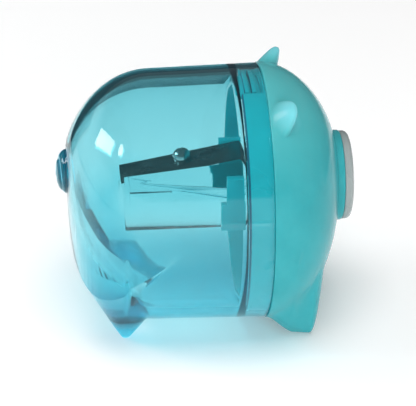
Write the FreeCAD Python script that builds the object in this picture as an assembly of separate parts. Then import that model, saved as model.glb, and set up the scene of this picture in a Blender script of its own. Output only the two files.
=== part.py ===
import FreeCAD, Part
import math
import os

# Pig-shaped container sharpener. Millimetres and degrees. +X points to the snout, +Z up,
# the feet stand on Z = 0, and X = 0 is half way between the tail and the snout.
V = FreeCAD.Vector

# Body, common to the tub and the head
seam_radius = 24.0          # outside radius where tub and head meet
ground_gap = 0.4            # under the body, which stands on its feet
seam_gap = 0.15             # hairline between the tub's rim and the head's shoulder

# Tub: clear shavings cup with a rounded rump
tub_straight = 19.4         # nearly straight side, back from the seam
tub_draft = 0.4             # how much smaller the radius is at the end of the straight side
rump_depth = 17.1           # from the straight side to the rearmost point
rump_power = 2.25           # squareness of the rump's outline
rump_lift = 9.0             # how strongly the rump's centre rises towards the tail
rump_shares = [0, 0.16, 0.32, 0.46, 0.58, 0.69, 0.79, 0.87, 0.93, 0.965]  # where its circles stand
rump_cut = 0.985            # share of the rump's depth at which the flat for the tail starts
tub_wall = 2.0
rump_wall = 1.5
mouth_wall = 1.2            # thinner wall at the mouth, which takes the spigot ring
mouth_gap = 0.2             # from the spigot's rear edge to the step in the wall
tail_radius = 4.25
tail_height = 2.05          # the tail button stands this far out
tail_rise = 5.4             # tail centre above the body's axis
tail_root = 0.8             # how deep the tail is rooted in the rump

# Head: milky shell with ears, front feet and a collar
head_step = 0.1             # the head is this much larger in radius than the tub at the seam
head_depth = 14.7           # seam to the pole of the rounded outline
head_power = 2.08           # squareness of the head's outline, 2 is an ellipse
head_cut = 0.93             # share of that depth at which the nose flat starts
head_wall = 2.0
nose_wall = 2.4
snout_rise = 2.5            # snout and pencil axis above the body's axis
rise_power = 4.0            # the higher, the closer to the snout the head's centre rises
collar_radius = 8.5
collar_height = 0.4         # the collar's front face, ahead of the head's pole
rabbet_depth = 2.6          # round pocket in the head's rim that takes the carrier

# Ears
ear_angle = 30.2            # from straight up, to each side
ear_height = 3.0            # the tip, beyond the head's largest radius
ear_width = 8.4             # round the body
ear_thickness = 4.3         # along X, at its root
ear_tip_thickness = 1.2
ear_tip_width = 3.0
ear_root_x = 2.4            # middle of the root, ahead of the seam
ear_tip_x = 5.0             # middle of the tip, ahead of the seam
ear_flare = 1.4             # above 1, the ear keeps its width and thickness longer before it narrows
ear_round = 0.5             # the tip's end, as a share of its nominal size

# Feet
foot_flare = 3.7            # height at which a foot is as wide as it gets
foot_top = 9.5              # height at which a foot has run into the body
front_foot_x = 6.8          # middle of the sole, ahead of the seam
front_foot_y = 10.9
front_foot_sole = 2.1
front_foot_long = 4.2       # half length at the flare
front_foot_wide = 3.7
front_foot_lean = -1.8      # the flare's middle stands this far ahead of the sole's
rear_foot_back = 6.9        # middle of the sole, behind the tub's straight side
rear_foot_y = 11.2
rear_foot_sole = 1.1
rear_foot_long = 3.7
rear_foot_wide = 3.5
rear_foot_lean = 0.9
rear_foot_spread = 1.6      # how much longer the foot is where it runs into the rump
sole_round = 0.7

# Carrier: spigot ring, bulkhead, guide tube and two cheeks for the block
spigot_clearance = 0.15     # radial, inside the tub's mouth
spigot_wall = 1.5
spigot_length = 4.5         # behind the seam
spigot_chamfer = 0.4
tongue_half_angle = 12.0
tongue_length = 5.4
tongue_recess = 0.9         # the tongue lies this much lower than the ring, under the tub's thicker wall
slit_width = 0.5
rib_width = 0.8
rib_places = [1.9, 3.2]     # behind the seam
rib_clearance = 0.05
bulkhead_wall = 1.5
bulkhead_back = 0.7         # its rear face, behind the seam
guide_wall = 1.4
cheek_wall = 1.4
cheek_length = 6.4          # back from the bulkhead
cheek_lip = 1.0             # the lower half of a cheek is this much longer
cheek_height = 10.6

# Snout ring
pencil_radius = 4.1         # bore for an 8 mm pencil
snout_radius = 8.35
snout_thickness = 1.65
snout_round = 1.0
lead_in = 0.9               # countersink at the pencil hole
sleeve_wall = 1.8

# Sharpener block, blade and screw
entrance_length = 2.81      # round bore before the cone starts
block_floor = 2.1           # under the bore
block_roof = 2.1            # over the bore, at the entrance
rail_rear_height = 9.6      # side rail, above the block's bottom
cone_half_angle = 10.8
cone_margin = 0.7           # from the cone's point to the block's rear end
slot_side_gap = 0.2         # between the bore's side and the rail
slot_edge = 1.5             # the slot's far edge, past the pencil's axis
slot_end_wall = 1.4
window_length = 7.6
window_depth = 1.0
window_height = 2.6
window_bottom = 5.0         # above the block's bottom
window_inset = 0.9          # from the block's rear end
blade_length = 24.0         # a standard small blade
blade_width = 6.9
blade_thickness = 0.5
blade_overhang = 0.1        # cutting edge, past the pencil's axis
blade_side_gap = 0.7        # between the blade and the block's side
blade_bevel = 1.3           # width of the ground bevel
blade_front_inset = 1.8     # from the block's entrance face, along the seat
screw_head_radius = 1.8
screw_head_height = 2.0
screw_shank_radius = 1.0
screw_shank_length = 2.6
screw_hole_gap = 0.2        # between the shank and the blade's hole
screw_slot_width = 0.5
screw_slot_depth = 0.5
screw_off_middle = 1.05     # from the blade's middle, away from the cutting edge

# Places that follow from the sizes
axis_height = seam_radius + ground_gap      # of the round body
rear_reach = tub_straight + rump_depth * rump_cut + tail_height
collar_end = head_depth + collar_height
front_reach = collar_end + snout_thickness
seam_x = (rear_reach - front_reach) / 2
pencil_z = axis_height + snout_rise
tub_end_radius = seam_radius - tub_draft
head_radius = seam_radius + head_step
ear_reach = head_radius + ear_height
mouth_radius = seam_radius - mouth_wall
mouth_depth = spigot_length + mouth_gap
spigot_radius = mouth_radius - spigot_clearance
spigot_inside = spigot_radius - spigot_wall
rabbet_radius = spigot_radius
bulkhead_x = seam_x - bulkhead_back
guide_radius = pencil_radius + guide_wall
sleeve_radius = pencil_radius + sleeve_wall
collar_x = seam_x + collar_end
sleeve_back_x = seam_x + head_depth * head_cut - nose_wall
slope = math.tan(math.radians(cone_half_angle))
block_length = cone_margin + pencil_radius / slope + entrance_length
block_width = 2 * (blade_width - blade_overhang + blade_side_gap)
block_front = bulkhead_x
block_rear = block_front - block_length
block_bottom = pencil_z - pencil_radius - block_floor
rail_front_height = block_floor + 2 * pencil_radius + block_roof
cone_point = block_rear + cone_margin
cone_start = cone_point + pencil_radius / slope
screw_side = blade_width / 2 - blade_overhang + screw_off_middle


def box(x0, y0, z0, x1, y1, z1):
    return Part.makeBox(x1 - x0, y1 - y0, z1 - z0, V(x0, y0, z0))


def rod(radius, x0, x1, z):
    return Part.makeCylinder(radius, x1 - x0, V(x0, 0, z), V(1, 0, 0))


def ring_at(radius, x, z):
    return Part.Wire([Part.makeCircle(radius, V(x, 0, z), V(1, 0, 0))])


def oval_at(x, y, z, half_long, half_wide):
    # a level oval, its longer half along X
    edge = Part.Ellipse(V(x + half_long, y, z), V(x, y + half_wide, z), V(x, y, z)).toShape()
    return Part.Wire([edge])


def prism(points_xz, y0, y1):
    # an outline in the XZ plane, made solid from y0 to y1
    corners = [V(x, y0, z) for x, z in points_xz]
    face = Part.Face(Part.makePolygon(corners + corners[:1]))
    return face.extrude(V(0, y1 - y0, 0))


def both_sides(shape):
    return [shape, shape.mirror(V(0, 0, 0), V(0, 1, 0))]


def rump_shape(side_wall, end_wall, front_x):
    # a slightly tapered side, then circles that shrink like a rounded square and rise towards the tail
    start_x = seam_x - tub_straight
    end = tub_end_radius - side_wall
    front = end + tub_draft * (front_x - start_x) / tub_straight
    side = Part.makeCone(end, front, front_x - start_x, V(start_x, 0, axis_height), V(1, 0, 0))
    rings = []
    for share in rump_shares + [rump_cut]:
        shrink = (1 - share ** rump_power) ** (1 / rump_power)
        rise = rump_lift * (1 - shrink) ** 2
        rings.append(ring_at(end * shrink, start_x - (rump_depth - end_wall) * share, axis_height + rise))
    return side.fuse(Part.makeLoft(rings, True, False)).removeSplitter()


def head_shape(wall, end_wall, back_x):
    # a rounded dome whose centre rises to the snout
    rings = [ring_at(head_radius - wall, back_x, axis_height)]
    for share in (0.15, 0.3, 0.44, 0.57, 0.69, 0.79, 0.87, head_cut):
        radius = (head_radius - wall) * (1 - share ** head_power) ** (1 / head_power)
        rise = snout_rise * share ** rise_power
        rings.append(ring_at(radius, seam_x + (head_depth - end_wall) * share, axis_height + rise))
    return Part.makeLoft(rings, True, False)


def foot(sole_x, sole_y, sole, half_long, half_wide, lean, spread):
    # a stub from its small sole up into the body, for the near side
    ovals = [
        oval_at(sole_x, -sole_y, 0, sole, sole * half_wide / half_long),
        oval_at(sole_x + lean, -sole_y, foot_flare, half_long, half_wide),
        oval_at(sole_x + lean, -sole_y, foot_top, half_long + spread, half_wide),
    ]
    stub = Part.makeLoft(ovals, True, True)
    rounded = [edge for edge in stub.Edges if abs(edge.BoundBox.ZMax) < 1e-6]
    return stub.makeFillet(sole_round, rounded)


def make_tub():
    outside = rump_shape(0, 0, seam_x)
    rear_x = seam_x - rear_reach
    ball_radius = (tail_radius ** 2 + tail_height ** 2) / (2 * tail_height)
    tail = Part.makeSphere(ball_radius, V(rear_x + ball_radius, 0, axis_height + tail_rise))
    tail = tail.common(rod(tail_radius, rear_x - 1, rear_x + tail_height + tail_root, axis_height + tail_rise))
    feet = both_sides(foot(seam_x - tub_straight - rear_foot_back, rear_foot_y, rear_foot_sole,
                           rear_foot_long, rear_foot_wide, rear_foot_lean, rear_foot_spread))
    whole = outside.fuse([tail] + feet)
    mouth_x = seam_x + 1
    inside = rump_shape(tub_wall, rump_wall, mouth_x)
    mouth = rod(mouth_radius, seam_x - mouth_depth, mouth_x, axis_height)
    return whole.cut([inside, mouth])


def make_ear():
    # a leaning fin whose last stretch closes in to a blunt tip
    root_z = seam_radius - head_wall / 2
    ovals = []
    for share in (0, 0.5, 0.85, 1):
        close = ear_round if share == 1 else 1
        x = seam_x + ear_root_x + (ear_tip_x - ear_root_x) * share
        taper = share ** ear_flare
        wide = (ear_width + (ear_tip_width - ear_width) * taper) * close
        thick = (ear_thickness + (ear_tip_thickness - ear_thickness) * taper) * close
        z = root_z + (ear_reach - root_z) * share
        edge = Part.Ellipse(V(x, wide / 2, z), V(x + thick / 2, 0, z), V(x, 0, z)).toShape()
        ovals.append(Part.Wire([edge]))
    ear = Part.makeLoft(ovals, True, False)
    ear.translate(V(0, 0, axis_height))
    ear.rotate(V(0, 0, axis_height), V(1, 0, 0), ear_angle)
    return ear


def make_head_shell():
    shoulder_x = seam_x + seam_gap
    outside = head_shape(0, 0, shoulder_x)
    collar = rod(collar_radius, seam_x + head_depth * head_cut - 1, collar_x, pencil_z)
    feet = both_sides(foot(seam_x + front_foot_x, front_foot_y, front_foot_sole,
                           front_foot_long, front_foot_wide, front_foot_lean, 0))
    whole = outside.fuse([collar] + feet + both_sides(make_ear()))
    behind = box(seam_x - 20, -30, -1, shoulder_x, 30, 60)
    inside = head_shape(head_wall, nose_wall, shoulder_x)
    rabbet = rod(rabbet_radius, shoulder_x, shoulder_x + rabbet_depth, axis_height)
    nose_hole = rod(sleeve_radius, seam_x, collar_x + 1, pencil_z)
    return whole.cut([behind, inside, rabbet, nose_hole])


def tongue_sector(r_inside, r_outside, x0, x1, half_angle):
    # a curved bar on top of the ring
    sector = Part.makeCylinder(r_outside, x1 - x0, V(x0, 0, axis_height), V(1, 0, 0))
    sector = sector.cut(rod(r_inside, x0 - 1, x1 + 1, axis_height))
    reach = 2 * seam_radius
    tip_y = reach * math.tan(math.radians(half_angle))
    corners = [V(x0, 0, axis_height), V(x0, -tip_y, axis_height + reach), V(x0, tip_y, axis_height + reach)]
    wedge = Part.Face(Part.makePolygon(corners + corners[:1])).extrude(V(x1 - x0, 0, 0))
    return sector.common(wedge)


def make_carrier():
    back_x = seam_x - spigot_length
    front_x = seam_x + seam_gap + rabbet_depth
    spigot = rod(spigot_radius, back_x, front_x, axis_height)
    rear_edge = [edge for edge in spigot.Edges if abs(edge.BoundBox.XMax - back_x) < 1e-6]
    spigot = spigot.makeChamfer(spigot_chamfer, rear_edge)
    spigot = spigot.cut(rod(spigot_inside, back_x - 1, front_x + 1, axis_height))
    # the tongue is cut free from the ring by two slits, and lies lower so that only its ribs reach the tub
    slit_angle = tongue_half_angle + math.degrees(slit_width / spigot_radius)
    tongue_root = seam_x - 0.4
    spigot = spigot.cut(tongue_sector(1, spigot_radius + 1, back_x - 1, tongue_root, slit_angle))
    tongue = tongue_sector(spigot_inside, spigot_radius - tongue_recess,
                           seam_x - tongue_length, tongue_root + 0.4, tongue_half_angle)
    pieces = [tongue]
    for place in rib_places:
        pieces.append(tongue_sector(spigot_inside, spigot_radius - rib_clearance,
                                    seam_x - place - rib_width / 2, seam_x - place + rib_width / 2,
                                    tongue_half_angle))
    pieces.append(rod(spigot_inside + spigot_wall / 2, bulkhead_x, bulkhead_x + bulkhead_wall, axis_height))
    pieces.append(rod(guide_radius, bulkhead_x, sleeve_back_x, pencil_z))
    lip_z = block_bottom + cheek_height / 2
    cheek_top = block_bottom + cheek_height
    short_x = bulkhead_x - cheek_length
    long_x = short_x - cheek_lip
    outline = [(bulkhead_x, block_bottom), (long_x, block_bottom), (long_x, lip_z),
               (short_x, lip_z), (short_x, cheek_top), (bulkhead_x, cheek_top)]
    cheek = prism(outline, -block_width / 2 - cheek_wall, -block_width / 2)
    pieces += both_sides(cheek)
    whole = spigot.fuse(pieces)
    return whole.cut(rod(pencil_radius, bulkhead_x - 1, sleeve_back_x + 1, pencil_z))


def make_snout_ring():
    front_x = collar_x + snout_thickness
    flange = rod(snout_radius, collar_x, front_x, pencil_z)
    rim = [edge for edge in flange.Edges if abs(edge.BoundBox.XMin - front_x) < 1e-6]
    flange = flange.makeFillet(snout_round, rim)
    sleeve = rod(sleeve_radius, sleeve_back_x, collar_x, pencil_z)
    whole = flange.fuse(sleeve).cut(rod(pencil_radius, sleeve_back_x - 1, front_x + 1, pencil_z))
    funnel = Part.makeCone(pencil_radius, pencil_radius + lead_in, lead_in,
                           V(front_x - lead_in, 0, pencil_z), V(1, 0, 0))
    return whole.cut(funnel)


def seat_z(x):
    # the blade's seat lies on the cone's upper edge
    return pencil_z + (x - cone_point) * slope


def lay_on_seat(shape, along):
    # moves a shape made at the origin, seat level, to a place on the tilted seat
    shape = shape.copy()
    shape.rotate(V(0, 0, 0), V(0, 1, 0), -cone_half_angle)
    shape.translate(V(along, 0, seat_z(along)))
    return shape


def blade_middle():
    half = (blade_length / 2 + blade_front_inset) * math.cos(math.radians(cone_half_angle))
    return block_front - half


def make_block():
    side = block_width / 2
    rail_inside = -(pencil_radius + slot_side_gap)
    rail_slope = (rail_front_height - rail_rear_height) / block_length

    def rail_z(x):
        return block_bottom + rail_rear_height + rail_slope * (x - block_rear)

    base = prism([(block_rear, block_bottom), (block_front, block_bottom),
                  (block_front, seat_z(block_front)), (block_rear, seat_z(block_rear))], -side, side)
    rail = prism([(block_rear, block_bottom), (block_front, block_bottom),
                  (block_front, rail_z(block_front)), (block_rear, rail_z(block_rear))], -side, rail_inside)
    bridge = prism([(cone_start, block_bottom), (block_front, block_bottom),
                    (block_front, rail_z(block_front)), (cone_start, rail_z(cone_start))],
                   -side, -blade_overhang - slot_side_gap)
    whole = base.fuse([rail, bridge])
    cone = Part.makeCone(0, pencil_radius, pencil_radius / slope, V(cone_point, 0, pencil_z), V(1, 0, 0))
    bore = rod(pencil_radius, cone_start, block_front + 1, pencil_z)
    slot = box(block_rear + slot_end_wall, rail_inside, pencil_z, cone_start, slot_edge, pencil_z + 12)
    window_z = block_bottom + window_bottom
    window = box(block_rear + window_inset, -side - 1, window_z,
                 block_rear + window_inset + window_length, -side + window_depth, window_z + window_height)
    hole = Part.makeCylinder(screw_shank_radius, 2 * screw_shank_length,
                             V(0, screw_side, -screw_shank_length), V(0, 0, 1))
    return whole.cut([cone, bore, slot, window, lay_on_seat(hole, blade_middle())])


def make_blade():
    half = blade_length / 2
    near = -blade_overhang
    far = near + blade_width
    corners = [V(-half, near, 0), V(-half, far, 0), V(-half, far, blade_thickness),
               V(-half, near + blade_bevel, blade_thickness), V(-half, near, 0.05)]
    blade = Part.Face(Part.makePolygon(corners + corners[:1])).extrude(V(blade_length, 0, 0))
    hole = Part.makeCylinder(screw_shank_radius + screw_hole_gap, blade_thickness + 2,
                             V(0, screw_side, -1), V(0, 0, 1))
    return lay_on_seat(blade.cut(hole), blade_middle())


def make_screw():
    ball_radius = (screw_head_radius ** 2 + screw_head_height ** 2) / (2 * screw_head_height)
    top = blade_thickness + screw_head_height
    head = Part.makeSphere(ball_radius, V(0, screw_side, top - ball_radius))
    head = head.common(Part.makeCylinder(screw_head_radius + 1, screw_head_height,
                                         V(0, screw_side, blade_thickness), V(0, 0, 1)))
    shank = Part.makeCylinder(screw_shank_radius, screw_shank_length + blade_thickness,
                              V(0, screw_side, -screw_shank_length), V(0, 0, 1))
    screw = head.fuse(shank)
    wide = screw_head_radius + 1
    half = screw_slot_width / 2
    low = top - screw_slot_depth
    slot_a = box(-wide, screw_side - half, low, wide, screw_side + half, top + 1)
    slot_b = box(-half, screw_side - wide, low, half, screw_side + wide, top + 1)
    return lay_on_seat(screw.cut([slot_a, slot_b]), blade_middle())


pieces = {
    "tub": make_tub,
    "head_shell": make_head_shell,
    "inner_carrier": make_carrier,
    "snout_ring": make_snout_ring,
    "sharpener_block": make_block,
    "blade": make_blade,
    "blade_screw": make_screw,
}

os.makedirs("parts", exist_ok=True)
for name, make in pieces.items():
    shape = make()
    shape.exportStep("parts/" + name + ".step")
    size = shape.optimalBoundingBox()
    print(name, "solids", len(shape.Solids), "valid", shape.isValid(), "volume", round(shape.Volume, 1),
          "x", round(size.XMin, 2), round(size.XMax, 2), "y", round(size.YMin, 2), round(size.YMax, 2),
          "z", round(size.ZMin, 2), round(size.ZMax, 2))
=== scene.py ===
import bmesh
import bpy
import math
from mathutils import Matrix, Vector


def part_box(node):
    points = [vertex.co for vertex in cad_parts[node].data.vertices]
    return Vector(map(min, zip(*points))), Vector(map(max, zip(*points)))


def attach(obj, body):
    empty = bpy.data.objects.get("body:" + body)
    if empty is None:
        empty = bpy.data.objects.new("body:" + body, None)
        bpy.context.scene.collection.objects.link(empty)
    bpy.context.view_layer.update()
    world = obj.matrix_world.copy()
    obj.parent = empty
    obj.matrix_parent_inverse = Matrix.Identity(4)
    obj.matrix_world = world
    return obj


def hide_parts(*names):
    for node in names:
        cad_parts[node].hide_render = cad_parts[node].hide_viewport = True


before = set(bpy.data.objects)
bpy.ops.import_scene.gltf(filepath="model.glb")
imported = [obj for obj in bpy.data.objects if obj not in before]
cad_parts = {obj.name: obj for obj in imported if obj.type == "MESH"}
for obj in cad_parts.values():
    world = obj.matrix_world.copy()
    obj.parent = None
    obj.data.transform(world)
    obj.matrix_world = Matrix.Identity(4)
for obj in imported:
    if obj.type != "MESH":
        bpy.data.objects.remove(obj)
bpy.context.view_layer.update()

mm = 0.001
scene = bpy.context.scene

# places that everything below hangs on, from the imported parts
tubLow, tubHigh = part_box("tub")
headLow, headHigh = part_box("head_shell")
ringLow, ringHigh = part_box("snout_ring")
carrierLow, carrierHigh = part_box("inner_carrier")
seamX = tubHigh.x
seamRadius = tubHigh.y
axisZ = tubHigh.z - seamRadius
pencilZ = (ringLow.z + ringHigh.z) / 2
spigotRadius = carrierHigh.y
print("frame loaded, seam at", round(seamX / mm, 2), "mm")


def spread(stops):
    # positions from start to end, each stretch given as (end, step), the first entry is the start
    places = [stops[0]]
    for end, step in stops[1:]:
        start = places[-1]
        count = max(1, round(abs(end - start) / step))
        places += [start + (end - start) * i / count for i in range(1, count + 1)]
    return places


def roundAngles(windows, coarse, fine):
    # angles once round, finer inside the windows (middle, half width), in degrees
    angles = []
    angle = 0.0
    while angle < 360 - coarse * 0.4:
        angles.append(math.radians(angle))
        near = any(abs((angle - middle + 180) % 360 - 180) < half for middle, half in windows)
        angle += fine if near else coarse
    return angles


def skin(name, rings, closed=False, poleStart=None, poleEnd=None):
    # a mesh from rings of points, each ring joined to the next one
    mesh = bpy.data.meshes.new(name)
    count = len(rings[0])
    verts = [point for ring in rings for point in ring]
    faces = []
    pairs = [(i, i + 1) for i in range(len(rings) - 1)]
    if closed:
        pairs.append((len(rings) - 1, 0))
    for a, b in pairs:
        for j in range(count):
            k = (j + 1) % count
            faces.append((a * count + j, a * count + k, b * count + k, b * count + j))
    for pole, ring, flip in ((poleStart, 0, True), (poleEnd, len(rings) - 1, False)):
        if pole is None:
            continue
        verts.append(pole)
        tip = len(verts) - 1
        for j in range(count):
            k = (j + 1) % count
            pair = (ring * count + k, ring * count + j) if flip else (ring * count + j, ring * count + k)
            faces.append(pair + (tip,))
    mesh.from_pydata([tuple(v) for v in verts], [], faces)
    mesh.update()
    solid = bmesh.new()
    solid.from_mesh(mesh)
    bmesh.ops.recalc_face_normals(solid, faces=solid.faces)
    solid.to_mesh(mesh)
    solid.free()
    for polygon in mesh.polygons:
        polygon.use_smooth = True
    piece = bpy.data.objects.new(name, mesh)
    scene.collection.objects.link(piece)
    return piece


def smoothMin(a, b, blend):
    if blend <= 0:
        return min(a, b)
    h = max(0.0, min(1.0, 0.5 + 0.5 * (b - a) / blend))
    return b + (a - b) * h - blend * h * (1 - h)


def smoothMax(a, b, blend):
    return -smoothMin(-a, -b, blend)


def softEdged(part):
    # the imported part's shape with its flat faces joined up and its sharp edges slightly rounded
    mesh = bpy.data.meshes.new(part["name"])
    shortest = part["shortest"]
    solid = bmesh.new()
    solid.from_mesh(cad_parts[part["node"]].data)
    bmesh.ops.remove_doubles(solid, verts=solid.verts, dist=0.002 * mm)
    bmesh.ops.dissolve_limit(solid, angle_limit=math.radians(1.0), verts=solid.verts, edges=solid.edges)
    sharp = [edge for edge in solid.edges if len(edge.link_faces) == 2
             and edge.calc_face_angle(0) > math.radians(part["angle"])
             and edge.calc_length() > shortest * mm]
    bmesh.ops.bevel(solid, geom=sharp, offset=part["bevel"] * mm, offset_type="OFFSET",
                    segments=part["segments"], profile=0.5, affect="EDGES", clamp_overlap=shortest == 0,
                    material=part["edgeSlot"])
    solid.to_mesh(mesh)
    solid.free()
    for polygon in mesh.polygons:
        polygon.use_smooth = True
    mesh.set_sharp_from_angle(angle=math.radians(35))
    piece = bpy.data.objects.new(part["name"], mesh)
    scene.collection.objects.link(piece)
    return piece


def newGroup(name, inputs, outputs):
    tree = bpy.data.node_groups.new(name, "ShaderNodeTree")
    for label, value in inputs.items():
        kind = "NodeSocketColor" if isinstance(value, tuple) else "NodeSocketFloat"
        socket = tree.interface.new_socket(name=label, in_out="INPUT", socket_type=kind)
        socket.default_value = value
    for label, kind in outputs.items():
        tree.interface.new_socket(name=label, in_out="OUTPUT", socket_type=kind)
    return tree, tree.nodes.new("NodeGroupInput"), tree.nodes.new("NodeGroupOutput")


def noiseNode(tree, scale, detail, roughness=0.5, stretch=None):
    place = tree.nodes.new("ShaderNodeTexCoord")
    noise = tree.nodes.new("ShaderNodeTexNoise")
    noise.inputs["Scale"].default_value = scale
    noise.inputs["Detail"].default_value = detail
    noise.inputs["Roughness"].default_value = roughness
    if stretch is None:
        tree.links.new(place.outputs["Object"], noise.inputs["Vector"])
    else:
        mapping = tree.nodes.new("ShaderNodeMapping")
        mapping.inputs["Rotation"].default_value = stretch["rotation"]
        mapping.inputs["Scale"].default_value = stretch["scale"]
        tree.links.new(place.outputs["Object"], mapping.inputs["Vector"])
        tree.links.new(mapping.outputs["Vector"], noise.inputs["Vector"])
    return noise


def mathNode(tree, operation, first, second):
    node = tree.nodes.new("ShaderNodeMath")
    node.operation = operation
    for socket, value in zip(node.inputs, (first, second)):
        if isinstance(value, (int, float)):
            socket.default_value = value
        else:
            tree.links.new(value, socket)
    return node.outputs["Value"]


def rangeNode(tree, value, low, high):
    # spreads a 0.3 to 0.7 noise between two ends
    node = tree.nodes.new("ShaderNodeMapRange")
    node.inputs["From Min"].default_value = 0.3
    node.inputs["From Max"].default_value = 0.7
    tree.links.new(value, node.inputs["Value"])
    for label, end in (("To Min", low), ("To Max", high)):
        if isinstance(end, (int, float)):
            node.inputs[label].default_value = end
        else:
            tree.links.new(end, node.inputs[label])
    return node.outputs["Result"]


def mixNode(tree, amount, first, second):
    mix = tree.nodes.new("ShaderNodeMix")
    mix.data_type = "RGBA"
    factor = [socket for socket in mix.inputs if socket.name == "Factor" and socket.type == "VALUE"][0]
    ends = [socket for socket in mix.inputs if socket.type == "RGBA"]
    tree.links.new(amount, factor)
    for socket, value in zip(ends, (first, second)):
        if isinstance(value, tuple):
            socket.default_value = value
        else:
            tree.links.new(value, socket)
    return [socket for socket in mix.outputs if socket.type == "RGBA"][0]


def makeMouldGrain():
    # the faint flow waves and fine grain that moulded plastic has
    tree, into, out = newGroup("mould grain", {"Smooth": 0.05, "Rough": 0.12, "Waves": 1.0, "Grain": 1.0},
                               {"Roughness": "NodeSocketFloat", "Height": "NodeSocketFloat"})
    patches = noiseNode(tree, 130, 3)
    waves = noiseNode(tree, 70, 1)
    grain = noiseNode(tree, 2600, 2)
    tree.links.new(rangeNode(tree, patches.outputs["Fac"], into.outputs["Smooth"], into.outputs["Rough"]),
                   out.inputs["Roughness"])
    low = mathNode(tree, "MULTIPLY", waves.outputs["Fac"], into.outputs["Waves"])
    fine = mathNode(tree, "MULTIPLY", grain.outputs["Fac"], into.outputs["Grain"])
    fine = mathNode(tree, "MULTIPLY", fine, 0.03)
    tree.links.new(mathNode(tree, "ADD", low, fine), out.inputs["Height"])
    return tree


def makeColourDrift():
    # two shades of one colour, mixed in soft clouds
    tree, into, out = newGroup("colour drift", {"Shade": (0.1, 0.5, 0.55, 1), "Thin": (0.15, 0.6, 0.65, 1)},
                               {"Color": "NodeSocketColor"})
    clouds = noiseNode(tree, 90, 4, 0.6)
    cloudy = rangeNode(tree, clouds.outputs["Fac"], 0.0, 1.0)
    colour = mixNode(tree, cloudy, into.outputs["Shade"], into.outputs["Thin"])
    tree.links.new(colour, out.inputs["Color"])
    return tree


def makeGrinding():
    # fine parallel grinding lines along the blade
    tree, into, out = newGroup("grinding lines", {"Smooth": 0.15, "Rough": 0.35, "Depth": 1.0},
                               {"Roughness": "NodeSocketFloat", "Height": "NodeSocketFloat"})
    along = dict(rotation=(0, 0, 0), scale=(12.0, 1.0, 1.0))
    lines = noiseNode(tree, 2200, 4, 0.7, along)
    patches = noiseNode(tree, 260, 2)
    both = mathNode(tree, "ADD", lines.outputs["Fac"], patches.outputs["Fac"])
    both = mathNode(tree, "MULTIPLY", both, 0.5)
    rough = rangeNode(tree, both, into.outputs["Smooth"], into.outputs["Rough"])
    tree.links.new(rough, out.inputs["Roughness"])
    depth = mathNode(tree, "MULTIPLY", lines.outputs["Fac"], into.outputs["Depth"])
    tree.links.new(depth, out.inputs["Height"])
    return tree


mouldGrain = makeMouldGrain()
colourDrift = makeColourDrift()
grinding = makeGrinding()
print("shader groups made")


def startMaterial(name):
    material = bpy.data.materials.new(name)
    material.use_nodes = True
    tree = material.node_tree
    tree.nodes.clear()
    out = tree.nodes.new("ShaderNodeOutputMaterial")
    return material, tree, out, tree.nodes.new("ShaderNodeBsdfPrincipled")


def useGroup(tree, group, values):
    node = tree.nodes.new("ShaderNodeGroup")
    node.node_tree = group
    for label, value in values.items():
        node.inputs[label].default_value = value
    return node


def bumpFrom(tree, height, distance, shader):
    bump = tree.nodes.new("ShaderNodeBump")
    bump.inputs["Strength"].default_value = 1.0
    bump.inputs["Distance"].default_value = distance
    tree.links.new(height, bump.inputs["Height"])
    tree.links.new(bump.outputs["Normal"], shader.inputs["Normal"])


def fadeNode(tree, value, none, full):
    # 0 where the value is at one end, growing to 1 at the other
    fade = tree.nodes.new("ShaderNodeMapRange")
    fade.inputs["From Min"].default_value = none
    fade.inputs["From Max"].default_value = full
    tree.links.new(value, fade.inputs["Value"])
    return fade.outputs["Result"]


def nearPlace(tree, spot, inside, outside):
    # 1 close to a place and to its mirror across the middle, 0 away from it
    where = tree.nodes.new("ShaderNodeTexCoord")
    split = tree.nodes.new("ShaderNodeSeparateXYZ")
    joined = tree.nodes.new("ShaderNodeCombineXYZ")
    tree.links.new(where.outputs["Object"], split.inputs["Vector"])
    tree.links.new(split.outputs["X"], joined.inputs["X"])
    tree.links.new(mathNode(tree, "ABSOLUTE", split.outputs["Y"], 0.0), joined.inputs["Y"])
    tree.links.new(split.outputs["Z"], joined.inputs["Z"])
    away = tree.nodes.new("ShaderNodeVectorMath")
    away.operation = "DISTANCE"
    away.inputs[1].default_value = spot
    tree.links.new(joined.outputs["Vector"], away.inputs[0])
    return fadeNode(tree, away.outputs["Value"], outside, inside)


def heightFade(tree, none, full):
    # 0 at one height, growing to 1 at another
    where = tree.nodes.new("ShaderNodeTexCoord")
    split = tree.nodes.new("ShaderNodeSeparateXYZ")
    tree.links.new(where.outputs["Object"], split.inputs["Vector"])
    return fadeNode(tree, split.outputs["Z"], none, full)


def thickPlaces(tree):
    # the solid rear feet and the tail button, where much more plastic gathers colour
    look = tub["finish"]
    feet = nearPlace(tree, (rearFoot["x"] + 0.2 * mm, rearFoot["y"], 1.5 * mm), *look["footReach"])
    tail = nearPlace(tree, (tubLow.x, 0, axisZ + tub["tailRise"]), *look["tailReach"])
    return mathNode(tree, "MAXIMUM", feet, tail), feet


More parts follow.
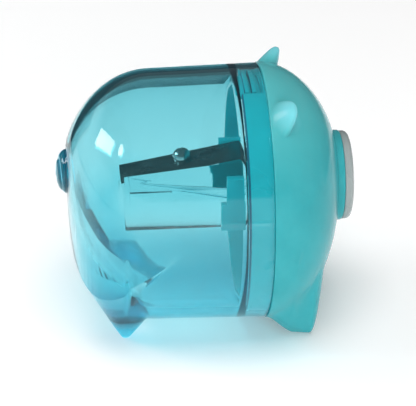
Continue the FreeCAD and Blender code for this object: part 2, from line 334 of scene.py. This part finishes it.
def clearPlastic(name, look):
    # a real glass-like body: the colour comes from the thickness of plastic that light goes through
    material, tree, out, shader = startMaterial(name)
    shader.inputs["Base Color"].default_value = look["surface"]
    shader.inputs["Transmission Weight"].default_value = 1.0
    shader.inputs["IOR"].default_value = look["ior"]
    grain = useGroup(tree, mouldGrain, look["grain"])
    tree.links.new(grain.outputs["Roughness"], shader.inputs["Roughness"])
    height = grain.outputs["Height"]
    if "thick" in look:
        thick, feet = thickPlaces(tree)
        # painted shade: the tub's colour turns deeper toward the bottom, standing in for the tinted shadow
        # under it
        base = mixNode(tree, heightFade(tree, *look["paintedShadeFade"]), look["surface"], look["paintedLowShade"])
        tree.links.new(mixNode(tree, thick, base, look["thick"]), shader.inputs["Base Color"])
        cells = tree.nodes.new("ShaderNodeTexVoronoi")
        cells.inputs["Scale"].default_value = look["facetScale"]
        flats = mathNode(tree, "MULTIPLY", cells.outputs["Distance"], feet)
        flats = mathNode(tree, "MULTIPLY", flats, look["facets"])
        height = mathNode(tree, "ADD", height, flats)
        # painted glints and glow: emission in the solid feet and button, brighter in some facets than in
        # others, and a faint painted glow on the rest of the tub that is stronger low down
        bright = rangeNode(tree, cells.outputs["Distance"], 1.0, 0.0)
        paintedSparkle = mixNode(tree, bright, look["deep"], look["paintedFacetGlint"])
        lift = mixNode(tree, heightFade(tree, *look["paintedGlowFade"]), look["lift"], look["paintedLowGlow"])
        tree.links.new(mixNode(tree, thick, lift, paintedSparkle), shader.inputs["Emission Color"])
        shader.inputs["Emission Strength"].default_value = 1.0
    bumpFrom(tree, height, look["bump"], shader)
    absorb = tree.nodes.new("ShaderNodeVolumeAbsorption")
    absorb.inputs["Color"].default_value = look["tint"]
    absorb.inputs["Density"].default_value = look["density"]
    tree.links.new(absorb.outputs["Volume"], out.inputs["Volume"])
    # light reaches what is inside instead of stopping at the wall
    rays = tree.nodes.new("ShaderNodeLightPath")
    through = tree.nodes.new("ShaderNodeBsdfTransparent")
    through.inputs["Color"].default_value = look["shadow"]
    mix = tree.nodes.new("ShaderNodeMixShader")
    tree.links.new(rays.outputs["Is Shadow Ray"], mix.inputs["Fac"])
    tree.links.new(shader.outputs["BSDF"], mix.inputs[1])
    tree.links.new(through.outputs["BSDF"], mix.inputs[2])
    tree.links.new(mix.outputs["Shader"], out.inputs["Surface"])
    return material


def milkyPlastic(name, look):
    material, tree, out, shader = startMaterial(name)
    colour = useGroup(tree, colourDrift, dict(Shade=look["shade"], Thin=look["thin"])).outputs["Color"]
    if "ears" in look:
        # painted sheen: the crown is paler toward the top; painted light: the ears are paler, where thin
        # plastic lets more light through
        colour = mixNode(tree, heightFade(tree, *look["paintedSheenFade"]), colour, look["paintedCrownSheen"])
        turn, far = math.radians(ear["angle"]), head["radius"] + 2.0 * mm
        tip = (ear["tipX"] - 1.0 * mm, far * math.sin(turn), axisZ + far * math.cos(turn))
        colour = mixNode(tree, nearPlace(tree, tip, *look["earReach"]), colour, look["ears"])
    tree.links.new(colour, shader.inputs["Base Color"])
    grain = useGroup(tree, mouldGrain, look["grain"])
    tree.links.new(grain.outputs["Roughness"], shader.inputs["Roughness"])
    bumpFrom(tree, grain.outputs["Height"], look["bump"], shader)
    shader.inputs["IOR"].default_value = look["ior"]
    shader.inputs["Transmission Weight"].default_value = look["clear"]
    shader.inputs["Subsurface Weight"].default_value = look["milk"]
    shader.inputs["Subsurface Radius"].default_value = look["reach"]
    shader.inputs["Subsurface Scale"].default_value = 1.0
    shader.inputs["Coat Weight"].default_value = look["coat"]
    shader.inputs["Coat Roughness"].default_value = 0.03
    # painted glow: the plastic's own colour sent out as emission, standing in for light that scatters
    # inside the thin moulding and for fill light in shaded places
    tree.links.new(colour, shader.inputs["Emission Color"])
    shader.inputs["Emission Strength"].default_value = look["glow"]
    tree.links.new(shader.outputs["BSDF"], out.inputs["Surface"])
    return material


def steel(name, look):
    material, tree, out, shader = startMaterial(name)
    shader.inputs["Metallic"].default_value = 1.0
    colour = useGroup(tree, colourDrift, dict(Shade=look["shade"], Thin=look["thin"]))
    tree.links.new(colour.outputs["Color"], shader.inputs["Base Color"])
    lines = useGroup(tree, grinding, look["lines"])
    tree.links.new(lines.outputs["Roughness"], shader.inputs["Roughness"])
    bumpFrom(tree, lines.outputs["Height"], look["bump"], shader)
    tree.links.new(shader.outputs["BSDF"], out.inputs["Surface"])
    return material


def place(piece, material, node, body, slot):
    piece.data.materials.clear()
    piece.data.materials.append(materials[material])
    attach(piece, body)
    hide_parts(node)
    print(piece.name, "faces", len(piece.data.polygons))


def footUnder(x, y, foot):
    # height of a foot's skin over the ground at x, y: a blunt sole that widens upwards
    dx = x - foot["x"]
    dy = abs(y) - foot["y"]
    sole = foot["sole"]
    ahead = max(0.0, min(1.0, 0.5 + dx / (2 * foot["turn"])))
    ahead = ahead * ahead * (3 - 2 * ahead)
    length = foot["backRun"] + (foot["frontRun"] - foot["backRun"]) * ahead
    power = foot["backPower"] + (foot["frontPower"] - foot["backPower"]) * ahead
    runX = max(0.0, abs(dx) - sole)
    runY = max(0.0, abs(dy) - sole * 0.8)
    share = math.hypot(runX / length, runY / foot["sideRun"])
    return foot["rise"] * share ** power


def withFeet(point, foot, blend):
    # pulls the underside of a shell down to a foot wherever the foot is lower
    x, y, z = point
    if z > axisZ:
        return point
    low = footUnder(x, y, foot)
    if low > z + 3 * blend:
        return point
    return (x, y, max(0.0, smoothMin(z, low, blend)))


tub = dict(
    endX=seamX - 19.4 * mm,     # where the straight side turns into the rump
    draft=0.4 * mm,
    depth=17.1 * mm,
    power=2.25,
    cut=0.985,                  # share of the rump's depth where the tail button starts
    lift=9.0 * mm,
    wall=2.0 * mm,
    rumpWall=1.5 * mm,
    rimRound=0.25 * mm,
    mouthDepth=4.7 * mm,
    mouthGap=0.15 * mm,         # between the carrier's ring and the thinner wall at the mouth
    tailRise=5.4 * mm,
    tailRadius=4.25 * mm,
    tailSink=0.35 * mm,         # how deep the button's edge starts inside the rump
    curlTurns=1.6,
    curlDepth=0.3 * mm,
    finish=dict(
        surface=(1, 1, 1, 1), ior=1.49, tint=(0.03, 0.76, 0.83, 1), density=350.0,
        shadow=(0.96, 0.98, 0.98, 1), bump=0.02 * mm,
        grain=dict(Smooth=0.0, Rough=0.03, Waves=1.0, Grain=0.3),
        thick=(0.05, 0.80, 0.95, 1), facets=12.0, facetScale=620.0,     # solid feet and tail button
        paintedFacetGlint=(0.0, 0.17, 0.21, 1), deep=(0.0, 0.06, 0.09, 1),         # painted glints: emission colours of their brighter and darker facets
        footReach=(3.4 * mm, 6.2 * mm), tailReach=(4.2 * mm, 4.7 * mm),
        # painted glow: emission over the whole tub, stronger toward the bottom
        lift=(0.0, 0.006, 0.008, 1), paintedLowGlow=(0.0, 0.025, 0.032, 1), paintedGlowFade=(27 * mm, 12 * mm),
        # painted shade: deeper colour low on the tub, faded in by height
        paintedLowShade=(0.68, 0.905, 0.93, 1), paintedShadeFade=(11 * mm, 4 * mm),
    ),
)
rearFoot = dict(x=tub["endX"] - 6.9 * mm, y=11.2 * mm, sole=0.5 * mm, rise=4.0 * mm, frontRun=3.0 * mm,
                frontPower=1.1, backRun=2.3 * mm, backPower=1.05, sideRun=2.9 * mm, turn=0.5 * mm)


def rumpRing(share, inset, endInset):
    # (x, radius, centre height) of the rump at a share of its depth
    shrink = (1 - share ** tub["power"]) ** (1 / tub["power"])
    radius = (seamRadius - tub["draft"] - inset) * shrink
    return tub["endX"] - (tub["depth"] - endInset) * share, radius, axisZ + tub["lift"] * (1 - shrink) ** 2


def straightRing(x, inset):
    share = (seamX - x) / (seamX - tub["endX"])
    return x, seamRadius - tub["draft"] * share - inset, axisZ


def tubProfile(inset, endInset, shareEnd):
    # rings from the mouth to the tail
    rings = [straightRing(x, inset) for x in spread([seamX - tub["rimRound"], (tub["endX"], 0.9 * mm)])]
    turns = 64
    top = math.asin(shareEnd)
    for i in range(1, turns + 1):
        rings.append(rumpRing(math.sin(top * i / turns), inset, endInset))
    return rings


def makeTubShell():
    angles = roundAngles([(180 - 29, 13), (180 + 29, 13)], 1.5, 0.5)

    def circle(x, radius, centre):
        return [(x, radius * math.sin(a), centre + radius * math.cos(a)) for a in angles]

    outer = []
    for x, radius, centre in tubProfile(0, 0, tub["cut"]):
        outer.append([withFeet(point, rearFoot, 0.5 * mm) for point in circle(x, radius, centre)])
    # the tail button: a low dome with a groove that curls once round it
    tailZ = axisZ + tub["tailRise"]
    rootX = rumpRing(tub["cut"], 0, 0)[0] + tub["tailSink"]
    height = rootX - tubLow.x
    steps = 26
    for i in range(steps):
        share = 1 - i / steps
        bulge = math.sqrt(max(0.0, 1 - share ** 2.4))
        ring = []
        for a in angles:
            radius = tub["tailRadius"] * share
            curl = max(0.0, math.cos(a + 2 * math.pi * tub["curlTurns"] * share)) ** 4
            groove = tub["curlDepth"] * curl * 4 * share * (1 - share)
            x = rootX - height * bulge + groove
            ring.append((x, radius * math.sin(a), tailZ + radius * math.cos(a)))
        outer.append(ring)
    # inside, the wall is thinner at the mouth and steps in behind the carrier's ring
    mouthRadius = spigotRadius + tub["mouthGap"]
    stepX = seamX - tub["mouthDepth"]
    mouth = spread([seamX - tub["rimRound"], (stepX + 0.1 * mm, 0.9 * mm)])
    inner = [circle(x, mouthRadius, axisZ) for x in mouth]
    inner.append(circle(stepX, mouthRadius - 0.1 * mm, axisZ))
    inner.append(circle(stepX, seamRadius - tub["wall"] - 0.02 * mm, axisZ))
    profile = tubProfile(tub["wall"], tub["rumpWall"], tub["cut"])
    inner += [circle(*ring) for ring in profile if ring[0] < stepX - 0.3 * mm]
    # rounded rim at the mouth
    half = (seamRadius - mouthRadius) / 2
    rim = []
    for i in range(1, 6):
        turn = math.pi * i / 6
        across = math.copysign(abs(math.cos(turn)) ** 0.35, math.cos(turn))
        rim.append(circle(seamX - tub["rimRound"] + tub["rimRound"] * math.sin(turn),
                          seamRadius - half + half * across, axisZ))
    rings = list(reversed(outer)) + rim + inner
    poleEnd = (profile[-1][0], 0, profile[-1][2])
    piece = skin("tubShell", rings, poleStart=(tubLow.x, 0, tailZ), poleEnd=poleEnd)
    place(piece, "tub", "tub", "tub", "clear_teal_plastic")


head = dict(
    radius=headHigh.y,
    depth=14.7 * mm,
    power=2.08,
    risePower=4.0,
    cut=0.93,
    wall=2.0 * mm,
    noseWall=2.4 * mm,
    pocketDepth=2.6 * mm,
    backX=headLow.x,
    collarRadius=8.5 * mm,
    collarX=headHigh.x,
    collarFillet=0.3 * mm,
    collarEdge=0.35 * mm,
    holeRadius=5.9 * mm,
    blend=1.1 * mm,
    finish=dict(
        # glow is painted light: emission in the head's own colour
        shade=(0.03, 0.29, 0.32, 1), thin=(0.045, 0.34, 0.375, 1), clear=0.0, milk=0.35, glow=0.06,
        reach=(0.0012, 0.004, 0.0045), coat=0.0, ior=1.22, bump=0.02 * mm,
        grain=dict(Smooth=0.12, Rough=0.2, Waves=1.0, Grain=0.5),
        # painted sheen toward the top and painted light in the ears, both as paler colours
        paintedCrownSheen=(0.08, 0.39, 0.41, 1), paintedSheenFade=(35 * mm, 46 * mm),
        ears=(0.16, 0.51, 0.56, 1), earReach=(1.4 * mm, 4.4 * mm),
    ),
)
frontFoot = dict(x=seamX + 6.8 * mm, y=10.9 * mm, sole=1.5 * mm, rise=4.0 * mm, frontRun=1.5 * mm,
                 frontPower=2.6, backRun=4.6 * mm, backPower=1.25, sideRun=2.9 * mm, turn=2.4 * mm)
ear = dict(angle=30.2, rootX=seamX + 2.4 * mm, tipX=seamX + 5.0 * mm, halfThick=2.15 * mm,
           halfWide=4.2 * mm, tip=3.0 * mm, sunk=1.0 * mm, narrowing=0.7, blend=0.45 * mm)


def headRing(share, inset, endInset):
    shrink = (1 - share ** head["power"]) ** (1 / head["power"])
    return (seamX + (head["depth"] - endInset) * share, (head["radius"] - inset) * shrink,
            axisZ + (pencilZ - axisZ) * share ** head["risePower"])


def earHeight(x, angle):
    # how far the ear stands out of the head at a place on its skin
    total = ear["tip"] + ear["sunk"]
    off = math.degrees(angle)
    off = min(abs((off - side * ear["angle"] + 180) % 360 - 180) for side in (-1, 1))
    across = math.radians(off) * head["radius"] / ear["halfWide"]
    along = (x - ear["rootX"]) / ear["halfThick"]
    away = math.hypot(across, along)
    if away > 1.6:
        return 0.0
    share = max(0.0, (1 - away) / ear["narrowing"])
    share = share ** 0.72 if share > 0 else 0.0
    share = smoothMin(share, 1.0, 0.22)
    low = total * share - ear["sunk"] if away < 1 else -ear["sunk"] - (away - 1) * 3 * mm
    return max(0.0, smoothMax(0.0, low, ear["blend"]) - (ear["blend"] / 4 if away > 1.2 else 0))


def makeHeadShell():
    angles = roundAngles([(180 - 27, 14), (180 + 27, 14), (ear["angle"], 12.5),
                          (360 - ear["angle"], 12.5)], 1.6, 0.55)
    lean = (ear["tipX"] - ear["rootX"]) / (ear["tip"] + ear["sunk"])

    def circle(x, radius, centre):
        return [(x, radius * math.sin(a), centre + radius * math.cos(a)) for a in angles]

    outer = []
    backShare = (head["backX"] - seamX) / head["depth"]
    shares = spread([backShare, (0.38, 0.012), (0.8, 0.019), (head["cut"], 0.012)])
    for share in shares:
        x, radius, centre = headRing(share, 0, 0)
        ring = []
        for a in angles:
            rise = earHeight(x, a)
            far = radius + rise
            point = (x + lean * rise, far * math.sin(a), centre + far * math.cos(a))
            ring.append(withFeet(point, frontFoot, head["blend"]))
        outer.append(ring)
    # collar: a small fillet at its foot, then a rounded front edge
    cutX = headRing(head["cut"], 0, 0)[0]
    filletRadius = head["collarFillet"]
    edgeRadius = head["collarEdge"]
    for i in range(5):
        turn = math.pi / 2 * i / 4
        radius = head["collarRadius"] + filletRadius * (1 - math.sin(turn))
        outer.append(circle(cutX + filletRadius * (1 - math.cos(turn)), radius, pencilZ))
    for i in range(7):
        turn = math.pi / 2 * i / 6
        outer.append(circle(head["collarX"] - edgeRadius * (1 - math.sin(turn)),
                            head["collarRadius"] - edgeRadius * (1 - math.cos(turn)), pencilZ))
    for radius in (7.4, 6.6):
        outer.append(circle(head["collarX"], radius * mm, pencilZ))
    hole = [circle(head["collarX"] - 0.15 * mm, head["holeRadius"], pencilZ)]
    innerX = headRing(head["cut"], head["wall"], head["noseWall"])[0]
    for x in spread([head["collarX"] - 0.4 * mm, (innerX, 0.8 * mm)]):
        hole.append(circle(x, head["holeRadius"], pencilZ))
    # inside of the dome, then the pocket that the carrier's ring stands in
    pocketX = head["backX"] + head["pocketDepth"]
    inner = []
    pocketShare = (pocketX - seamX) / (head["depth"] - head["noseWall"])
    for share in reversed(spread([pocketShare, (head["cut"], 0.03)])):
        inner.append(circle(*headRing(share, head["wall"], head["noseWall"])))
    inner.append(circle(pocketX, spigotRadius - 0.05 * mm, axisZ))
    inner += [circle(x, spigotRadius + 0.01 * mm, axisZ) for x in (pocketX, head["backX"] + 0.3 * mm)]
    rimHalf = (head["radius"] - spigotRadius) / 2
    rim = []
    for i in range(1, 6):
        turn = math.pi * i / 6
        reach = -math.copysign(abs(math.cos(turn)) ** 0.35, math.cos(turn)) * (rimHalf - 0.02 * mm)
        rim.append(circle(head["backX"], head["radius"] - rimHalf + reach, axisZ))
    piece = skin("headShell", outer + hole + inner + rim, closed=True)
    place(piece, "head", "head_shell", "head", "milky_teal_plastic")


snout = dict(
    bore=4.1 * mm,
    edgeRound=1.0 * mm,
    leadIn=0.9 * mm,
    sleeveRadius=5.9 * mm,
    smallRound=0.12 * mm,
    endRound=0.15 * mm,         # at the sleeve's rear end
    finish=dict(
        shade=(0.27, 0.31, 0.31, 1), thin=(0.32, 0.36, 0.36, 1), clear=0.0, milk=0.3, glow=0.0,
        reach=(0.002, 0.002, 0.002), coat=0.3, ior=1.49, bump=0.02 * mm,
        grain=dict(Smooth=0.18, Rough=0.3, Waves=1.0, Grain=1.0),
    ),
)


def makeSnoutRing():
    radius = ringHigh.y
    front = ringHigh.x
    back = head["collarX"]
    rear = ringLow.x + snout["endRound"]
    small, sleeve, bore, leadIn = snout["smallRound"], snout["sleeveRadius"], snout["bore"], snout["leadIn"]
    outline = [(front, 5.35 * mm), (front, 6.4 * mm)]
    for i in range(9):                                        # rounded front edge
        turn = math.pi / 2 * i / 8
        outline.append((front - snout["edgeRound"] * (1 - math.cos(turn)),
                        radius - snout["edgeRound"] * (1 - math.sin(turn))))
    outline += [(back + small, radius), (back + 0.03 * mm, radius - small * 0.3),
                (back, radius - small), (back, sleeve + 0.1 * mm)]
    outline += [(x, sleeve) for x in spread([back - 0.1 * mm, (rear, 1.0 * mm)])]
    outline += [(ringLow.x, sleeve - snout["endRound"]), (ringLow.x, bore + snout["endRound"])]
    outline += [(x, bore) for x in spread([rear, (front - leadIn - 0.1 * mm, 0.9 * mm)])]
    for i in range(1, 7):                                     # dished lead-in for the pencil
        share = i / 7
        outline.append((front - leadIn * (1 - share), bore + leadIn * share ** 1.15))
    angles = [2 * math.pi * i / 128 for i in range(128)]
    rings = [[(x, r * math.sin(a), pencilZ + r * math.cos(a)) for a in angles] for x, r in outline]
    piece = skin("snoutRing", rings, closed=True)
    place(piece, "ring", "snout_ring", "head", "white_plastic")


carrier = dict(
    name="innerCarrier", node="inner_carrier", material="carrier", slot="turquoise_plastic",
    bevel=0.12, angle=40, segments=2, edgeSlot=1, shortest=0,
    finish=dict(
        # glow is painted light, brightening the carrier where it lies in shade under the blade
        shade=(0.006, 0.36, 0.40, 1), thin=(0.012, 0.42, 0.46, 1), clear=0.0, milk=0.2, glow=0.18,
        reach=(0.0006, 0.002, 0.0022), coat=0.1, ior=1.49, bump=0.03 * mm,
        grain=dict(Smooth=0.25, Rough=0.4, Waves=1.0, Grain=1.5),
    ),
    # painted shade for the ring's rear edge and the rib sides
    paintedShade=dict(
        shade=(0.004, 0.10, 0.17, 1), thin=(0.01, 0.16, 0.24, 1), clear=0.0, milk=0.0, glow=0.0,
        reach=(0.0006, 0.002, 0.0022), coat=0.1, ior=1.49, bump=0.03 * mm,
        grain=dict(Smooth=0.35, Rough=0.5, Waves=1.0, Grain=1.5),
    ),
    paintedShadeBack=4.05 * mm,         # behind the seam, where the painted shade on the ring's rear edge starts
    edgeDepth=0.5 * mm,
    tongueHalf=5.2 * mm,
    ribHalf=5.5 * mm,
    ribDepth=1.6 * mm,
)
block = dict(
    name="sharpenerBlock", node="sharpener_block", material="block", slot="clear_block_plastic",
    bevel=0.2, angle=30, segments=2, edgeSlot=1, shortest=1.2,
    finish=dict(
        surface=(1, 1, 1, 1), ior=1.05, tint=(0.55, 0.9, 0.93, 1), density=60.0,
        shadow=(0.96, 0.98, 0.98, 1), bump=0.02 * mm,
        grain=dict(Smooth=0.0, Rough=0.04, Waves=1.0, Grain=0.5),
    ),
    # edges: painted shade, a darker tint on the block's bevelled edges
    edges=dict(
        surface=(0.32, 0.55, 0.58, 1), ior=1.35, tint=(0.55, 0.9, 0.93, 1), density=60.0,
        shadow=(0.9, 0.95, 0.95, 1), bump=0.02 * mm,
        grain=dict(Smooth=0.1, Rough=0.2, Waves=1.0, Grain=0.5),
    ),
)
blade = dict(
    name="bladePlate", node="blade", material="blade", slot="blade_steel",
    bevel=0.05, angle=30, segments=2, edgeSlot=-1, shortest=0,
    finish=dict(
        shade=(0.20, 0.21, 0.21, 1), thin=(0.30, 0.31, 0.31, 1), bump=0.01 * mm,
        lines=dict(Smooth=0.12, Rough=0.34, Depth=1.0),
    ),
)
screw = dict(
    name="bladeScrew", node="blade_screw", material="screw", slot="screw_steel",
    bevel=0.07, angle=35, segments=2, edgeSlot=-1, shortest=0,
    finish=dict(
        shade=(0.45, 0.46, 0.46, 1), thin=(0.6, 0.61, 0.6, 1), bump=0.006 * mm,
        lines=dict(Smooth=0.1, Rough=0.28, Depth=0.6),
    ),
)


def paintRearEdgeShade(piece):
    # painted shade: a darker turquoise on the rear edge of the carrier's ring and on the sides of the
    # tongue's ribs
    piece.data.materials.append(materials["carrierEdgeShade"])
    backX = seamX - carrier["paintedShadeBack"]
    for polygon in piece.data.polygons:
        middle = polygon.center
        side = abs(middle.y)
        radial = math.hypot(middle.y, middle.z - axisZ)
        onRing = radial > spigotRadius - carrier["edgeDepth"] and side > carrier["tongueHalf"]
        onTongue = radial > spigotRadius - carrier["ribDepth"] and side < carrier["ribHalf"]
        onTongue = onTongue and middle.z > axisZ
        ribSide = polygon.material_index == 1 or abs(polygon.normal.x) > 0.7
        polygon.material_index = 1 if (onRing and middle.x < backX) or (onTongue and ribSide) else 0


materials = dict(
    tub=clearPlastic("clear teal plastic", tub["finish"]),
    block=clearPlastic("clear block plastic", block["finish"]),
    blockEdgeShade=clearPlastic("painted shade block edges", block["edges"]),
    head=milkyPlastic("milky teal plastic", head["finish"]),
    carrier=milkyPlastic("turquoise plastic", carrier["finish"]),
    # the carrier's edge material: painted shade
    carrierEdgeShade=milkyPlastic("dusty turquoise edge", carrier["paintedShade"]),
    ring=milkyPlastic("white plastic", snout["finish"]),
    blade=steel("ground steel", blade["finish"]),
    screw=steel("plated steel", screw["finish"]),
)
print("materials made:", len(materials))

makeTubShell()
makeHeadShell()
makeSnoutRing()
for part in (carrier, block, blade, screw):
    piece = softEdged(part)
    place(piece, part["material"], part["node"], "head", part["slot"])
    # the bevel faces get the edge material with painted shade
    if part is block:
        piece.data.materials.append(materials["blockEdgeShade"])
    if part is carrier:
        # painted shade on the carrier's edges
        paintRearEdgeShade(piece)
print("pieces built")


stage = dict(floorHalf=1.4, floorTint=(0.93, 0.93, 0.93, 1), glow=0.15)
dimCard = dict(radius=0.19, low=-0.0005, high=0.075, fromAngle=-50, toAngle=75,
               colour=(0.05, 0.055, 0.06, 1))
# how bright the room is at each height, as (sine of the height angle, brightness)
room = dict(front=[(0.31, 0.95), (0.36, 0.22)], back=[(0.0, 0.15), (0.8, 0.22)],
            left=[(0.3, 0.85), (0.4, 0.22)])


def makeFloor():
    half = stage["floorHalf"]
    mesh = bpy.data.meshes.new("floor")
    corners = [(-half, -half, 0), (half, -half, 0), (half, half, 0), (-half, half, 0)]
    mesh.from_pydata(corners, [], [(0, 1, 2, 3)])
    floor = bpy.data.objects.new("floor", mesh)
    scene.collection.objects.link(floor)
    material, tree, out, shader = startMaterial("pale floor")
    shader.inputs["Base Color"].default_value = stage["floorTint"]
    shader.inputs["Roughness"].default_value = 0.9
    shader.inputs["Specular IOR Level"].default_value = 0.0
    shader.inputs["Emission Color"].default_value = (1, 1, 1, 1)
    shader.inputs["Emission Strength"].default_value = stage["glow"]
    tree.links.new(shader.outputs["BSDF"], out.inputs["Surface"])
    mesh.materials.append(material)


def makeDimCard():
    # the dim room behind the table, seen only in clear plastic and in reflections
    mesh = bpy.data.meshes.new("dimRoom")
    verts = []
    faces = []
    count = 40
    for i in range(count + 1):
        angle = math.radians(dimCard["fromAngle"] + (dimCard["toAngle"] - dimCard["fromAngle"]) * i / count)
        for z in (dimCard["low"], dimCard["high"]):
            verts.append((dimCard["radius"] * math.sin(angle), dimCard["radius"] * math.cos(angle), z))
    for i in range(count):
        faces.append((2 * i, 2 * i + 2, 2 * i + 3, 2 * i + 1))
    mesh.from_pydata(verts, [], faces)
    room = bpy.data.objects.new("dimRoom", mesh)
    scene.collection.objects.link(room)
    material, tree, out, shader = startMaterial("dim room")
    shader.inputs["Base Color"].default_value = dimCard["colour"]
    shader.inputs["Roughness"].default_value = 1.0
    shader.inputs["Specular IOR Level"].default_value = 0.0
    tree.links.new(shader.outputs["BSDF"], out.inputs["Surface"])
    mesh.materials.append(material)
    room.visible_camera = False
    room.visible_diffuse = False
    room.visible_shadow = False


lights = [
    dict(name="window", azimuth=-106, elevation=29, distance=0.6, size=(0.27, 0.12), power=0.9,
         seenInGloss=True, roll=32),
    dict(name="windowPane", azimuth=-81, elevation=43, distance=0.6, size=(0.06, 0.09), power=0.2,
         seenInGloss=True, roll=32),
    dict(name="overhead", azimuth=0, elevation=78, distance=0.7, size=(0.45, 0.45), power=3.0,
         seenInGloss=False, roll=0),
    dict(name="lowFill", azimuth=5, elevation=8, distance=0.6, size=(0.5, 0.15), power=1.9,
         seenInGloss=False, roll=0),
]


def makeLight(name, azimuth, elevation, distance, size, power, seenInGloss, roll):
    # azimuth from -Y towards +X, as seen from the object
    light = bpy.data.lights.new(name, "AREA")
    light.shape = "RECTANGLE"
    light.size, light.size_y = size
    light.energy = power
    lamp = bpy.data.objects.new(name, light)
    scene.collection.objects.link(lamp)
    a, e = math.radians(azimuth), math.radians(elevation)
    way = Vector((math.sin(a) * math.cos(e), -math.cos(a) * math.cos(e), math.sin(e)))
    turn = way.to_track_quat("Z", "Y").to_matrix() @ Matrix.Rotation(math.radians(roll), 3, "Z")
    lamp.matrix_world = Matrix.Translation(way * distance + Vector((0, 0, axisZ))) @ turn.to_4x4()
    lamp.visible_glossy = seenInGloss
    lamp.visible_transmission = seenInGloss


def makeWorld():
    # in front it is bright up to a low wall and dim above, behind it is dim low down and bright above
    world = bpy.data.worlds.new("studio")
    scene.world = world
    world.use_nodes = True
    tree = world.node_tree
    tree.nodes.clear()
    out = tree.nodes.new("ShaderNodeOutputWorld")
    background = tree.nodes.new("ShaderNodeBackground")
    where = tree.nodes.new("ShaderNodeTexCoord")
    split = tree.nodes.new("ShaderNodeSeparateXYZ")
    tree.links.new(where.outputs["Generated"], split.inputs["Vector"])

    def steps(source, stops):
        ramp = tree.nodes.new("ShaderNodeValToRGB")
        tree.links.new(source, ramp.inputs["Fac"])
        while len(ramp.color_ramp.elements) < len(stops):
            ramp.color_ramp.elements.new(0.5)
        for element, (position, value) in zip(ramp.color_ramp.elements, stops):
            element.position = position
            element.color = (value, value, value, 1)
        return ramp.outputs["Color"]

    front = steps(split.outputs["Z"], room["front"])
    back = steps(split.outputs["Z"], room["back"])
    side = steps(mathNode(tree, "ADD", split.outputs["Y"], 0.5), [(0.5, 0.0), (0.7, 1.0)])
    around = mixNode(tree, side, front, back)
    left = steps(split.outputs["Z"], room["left"])
    atLeft = steps(mathNode(tree, "SUBTRACT", 0.2, split.outputs["X"]), [(0.6, 0.0), (0.8, 1.0)])
    tree.links.new(mixNode(tree, atLeft, around, left), background.inputs["Color"])
    tree.links.new(background.outputs["Background"], out.inputs["Surface"])


makeFloor()
makeDimCard()
makeWorld()
for light in lights:
    makeLight(**light)
print("floor, room and lights made:", len(lights))
scene.view_settings.view_transform = "Standard"

camera = dict(azimuth=-5.48, elevation=27.75, roll=0.43, distance=0.407, lens=187.0,
              aimRight=0.00069, aimUp=-0.0022, heartX=0.00033)


def placeCamera():
    azimuth, elevation = math.radians(camera["azimuth"]), math.radians(camera["elevation"])
    back = Vector((math.sin(azimuth) * math.cos(elevation), -math.cos(azimuth) * math.cos(elevation),
                   math.sin(elevation)))
    right = Vector((math.cos(azimuth), math.sin(azimuth), 0))
    up = back.cross(right)
    heart = Vector((camera["heartX"], 0, axisZ))
    spot = heart + back * camera["distance"]
    aim = heart + right * camera["aimRight"] + up * camera["aimUp"]
    back = (spot - aim).normalized()
    right = Vector((0, 0, 1)).cross(back).normalized()
    up = back.cross(right)
    roll = math.radians(camera["roll"])
    right, up = right * math.cos(roll) + up * math.sin(roll), up * math.cos(roll) - right * math.sin(roll)
    data = bpy.data.cameras.new("camera")
    data.lens = camera["lens"]
    data.clip_start = 0.01
    eye = bpy.data.objects.new("camera", data)
    scene.collection.objects.link(eye)
    eye.matrix_world = Matrix(((right.x, up.x, back.x, spot.x), (right.y, up.y, back.y, spot.y),
                               (right.z, up.z, back.z, spot.z), (0, 0, 0, 1)))
    scene.camera = eye


placeCamera()
